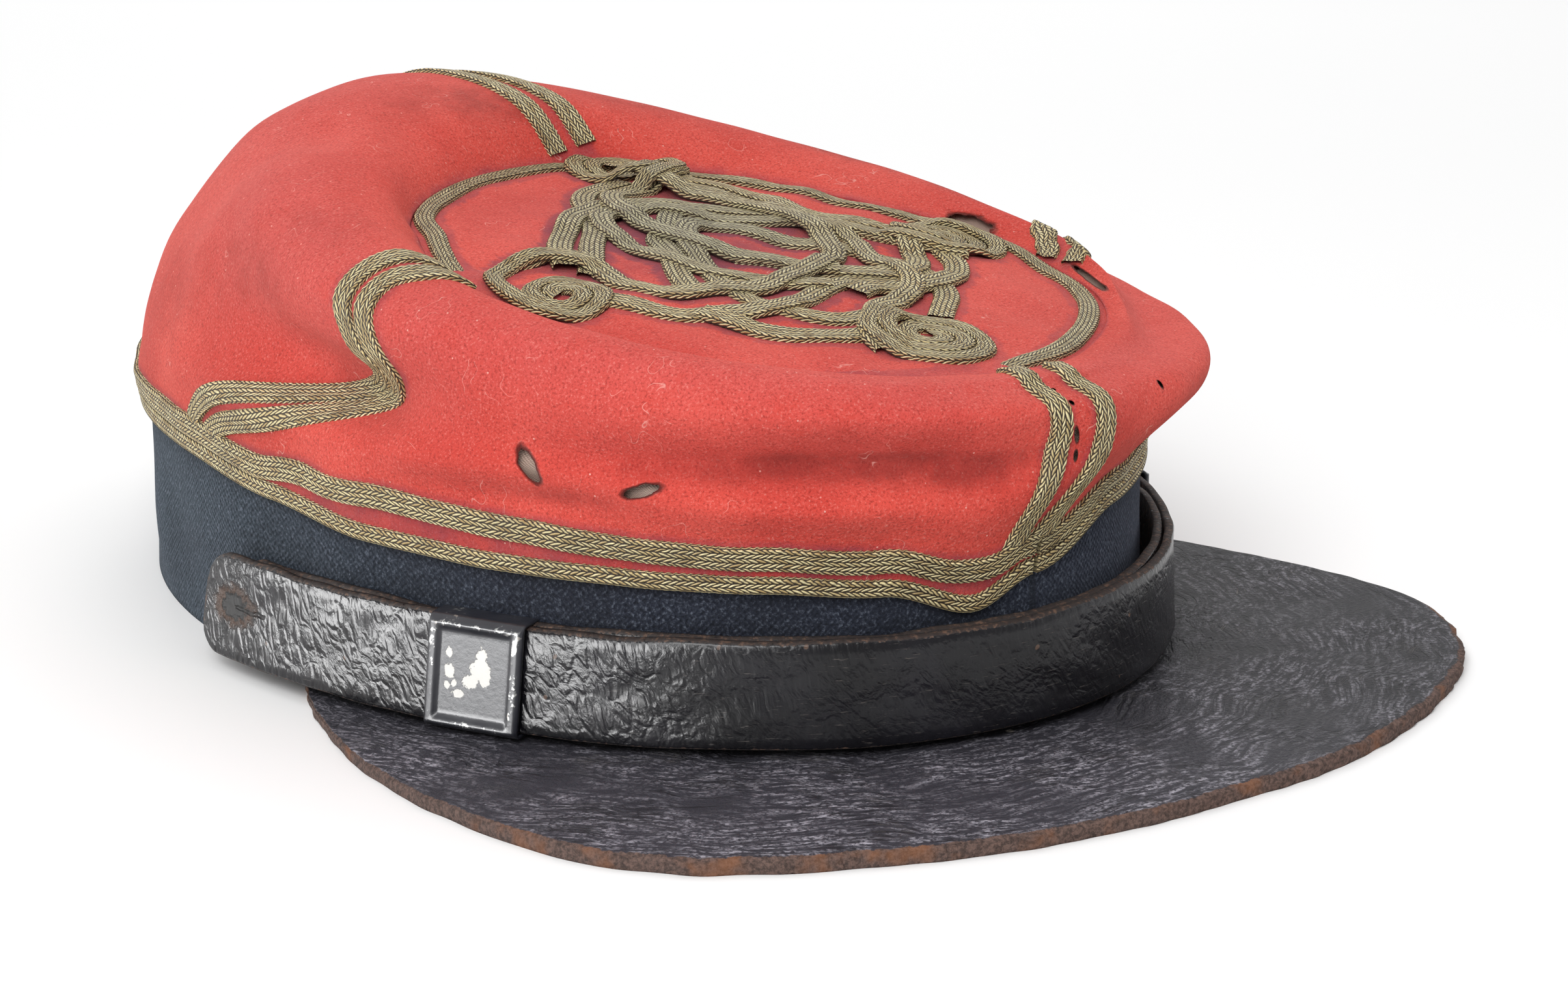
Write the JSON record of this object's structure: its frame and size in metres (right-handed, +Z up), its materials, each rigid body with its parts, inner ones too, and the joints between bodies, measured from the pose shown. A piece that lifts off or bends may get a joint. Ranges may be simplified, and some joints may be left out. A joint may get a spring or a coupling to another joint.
{
  "type": "soft peaked cap",
  "caption": "Soft wool cap with a collapsed round crown, flat leather peak, doubled chin strap and looped braid trim.",
  "frame": {"origin": "on the floor under the centre of the cap's bounding box", "axes": "-Y towards the front, +X towards the wearer's left, +Z up"},
  "size_m": [0.1904, 0.2566, 0.0868],
  "materials": {
    "blue_wool": "dark blue milled wool, dull nap",
    "red_wool": "red milled wool, dull nap, soiled in the folds",
    "peak_leather": "black leather, half matt, brown cut edge",
    "black_leather": "black patent leather, glossy and crazed",
    "japanned_tin": "black japanned tin, chipped to bare metal",
    "gilt_braid": "flat plaited gilt thread braid, dulled to olive"
  },
  "bodies": {
    "root": {"band": "blue_wool", "crown_side": "red_wool", "crown_top": "red_wool", "peak": "peak_leather", "chin_strap_outer": "black_leather", "chin_strap_inner": "black_leather", "strap_slide_near": "japanned_tin", "strap_slide_far": "japanned_tin", "braid_hem_lower": "gilt_braid", "braid_hem_upper": "gilt_braid", "braid_front_left": "gilt_braid", "braid_front_right": "gilt_braid", "braid_near_left": "gilt_braid", "braid_near_right": "gilt_braid", "braid_back_left": "gilt_braid", "braid_back_right": "gilt_braid", "braid_far_left": "gilt_braid", "braid_far_right": "gilt_braid", "braid_disc": "gilt_braid", "knot": "gilt_braid"}
  },
  "joints": []
}
